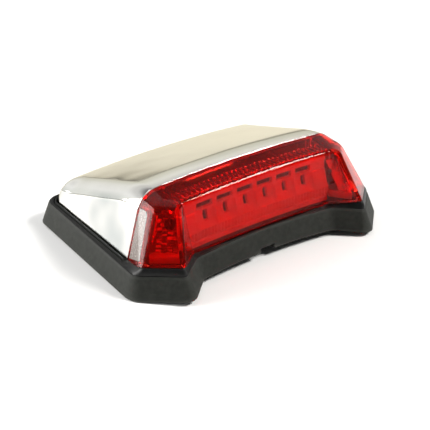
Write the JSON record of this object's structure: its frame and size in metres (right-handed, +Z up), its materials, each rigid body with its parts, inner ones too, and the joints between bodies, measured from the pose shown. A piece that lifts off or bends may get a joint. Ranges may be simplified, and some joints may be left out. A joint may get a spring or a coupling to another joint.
{
  "type": "motorcycle tail light",
  "caption": "Fender-mount LED tail light: arched rubber base with two front feet, chromed wedge housing and a red lens with clear side windows.",
  "frame": {"origin": "middle of the footprint at the level of the four corners that the arched base stands on", "axes": "+X along the width, -Y the way the lens faces, +Z up and away from the fender"},
  "size_m": [0.1396, 0.105, 0.0423],
  "materials": {
    "base_rubber": "matt moulded rubber",
    "black_plastic": "fine moulded grain",
    "chrome_plating": "bright plated",
    "red_plastic": "polished transparent red",
    "clear_plastic": "polished clear, frosted inside",
    "seal_rubber": "soft closed-cell rubber",
    "reflector_coating": "vacuum-metallised plastic",
    "board_laminate": "solder mask",
    "led_package": "satin",
    "component_black": "satin",
    "screw_steel": "zinc plated",
    "insert_brass": "turned"
  },
  "bodies": {
    "root": {"back_plate": "black_plastic", "base_gasket": "base_rubber", "cable_grommet": "seal_rubber", "chrome_housing": "chrome_plating", "circuit_board": "board_laminate", "housing_screw_1": "screw_steel", "housing_screw_2": "screw_steel", "housing_screw_3": "screw_steel", "housing_screw_4": "screw_steel", "led_1": "led_package", "led_2": "led_package", "led_3": "led_package", "led_4": "led_package", "led_5": "led_package", "led_6": "led_package", "left_board_screw": "screw_steel", "left_clear_window": "clear_plastic", "left_end_led": "led_package", "left_end_reflector": "reflector_coating", "left_side_board": "board_laminate", "left_threaded_insert": "insert_brass", "left_window_led": "led_package", "lens_seal": "seal_rubber", "main_reflector": "reflector_coating", "polarity_diode": "component_black", "red_lens": "red_plastic", "resistor_1": "component_black", "resistor_2": "component_black", "resistor_3": "component_black", "resistor_4": "component_black", "right_board_screw": "screw_steel", "right_clear_window": "clear_plastic", "right_end_led": "led_package", "right_end_reflector": "reflector_coating", "right_side_board": "board_laminate", "right_threaded_insert": "insert_brass", "right_window_led": "led_package", "vent_plug": "seal_rubber"}
  },
  "joints": []
}
